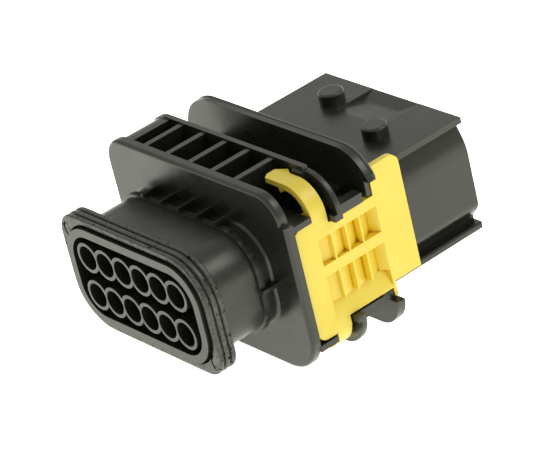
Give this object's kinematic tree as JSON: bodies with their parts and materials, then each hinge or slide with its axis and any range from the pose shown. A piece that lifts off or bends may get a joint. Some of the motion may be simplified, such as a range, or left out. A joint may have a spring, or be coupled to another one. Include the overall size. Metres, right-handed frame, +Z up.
{
  "type": "sealed rectangular connector housing",
  "caption": "Rectangular sealed cable connector: flanged black housing with hood, rubber ring seal, round wire bores, inner tabs and a sliding yellow secondary lock.",
  "frame": {"origin": "middle of the bounding box, on the plane the flanges rest on", "axes": "+X towards the yellow lock, +Y from the wire face to the hood's mouth, +Z up"},
  "size_m": [0.0509, 0.0616, 0.0345],
  "materials": {
    "housing": "satin",
    "seal": "matt",
    "lock": "satin",
    "contact": "tin plated"
  },
  "bodies": {
    "housing": {"housing": "housing", "radial_seal": "seal", "contact_01": "contact", "contact_02": "contact", "contact_03": "contact", "contact_04": "contact", "contact_05": "contact", "contact_06": "contact", "contact_07": "contact", "contact_08": "contact", "contact_09": "contact", "contact_10": "contact", "contact_11": "contact", "contact_12": "contact"},
    "lock": {"secondary_lock": "lock"}
  },
  "joints": [
    {"name": "lock_slide", "type": "slide", "parent": "housing", "child": "lock", "axis": [-1, 0, 0], "range_m": [0, 0.0012]}
  ]
}
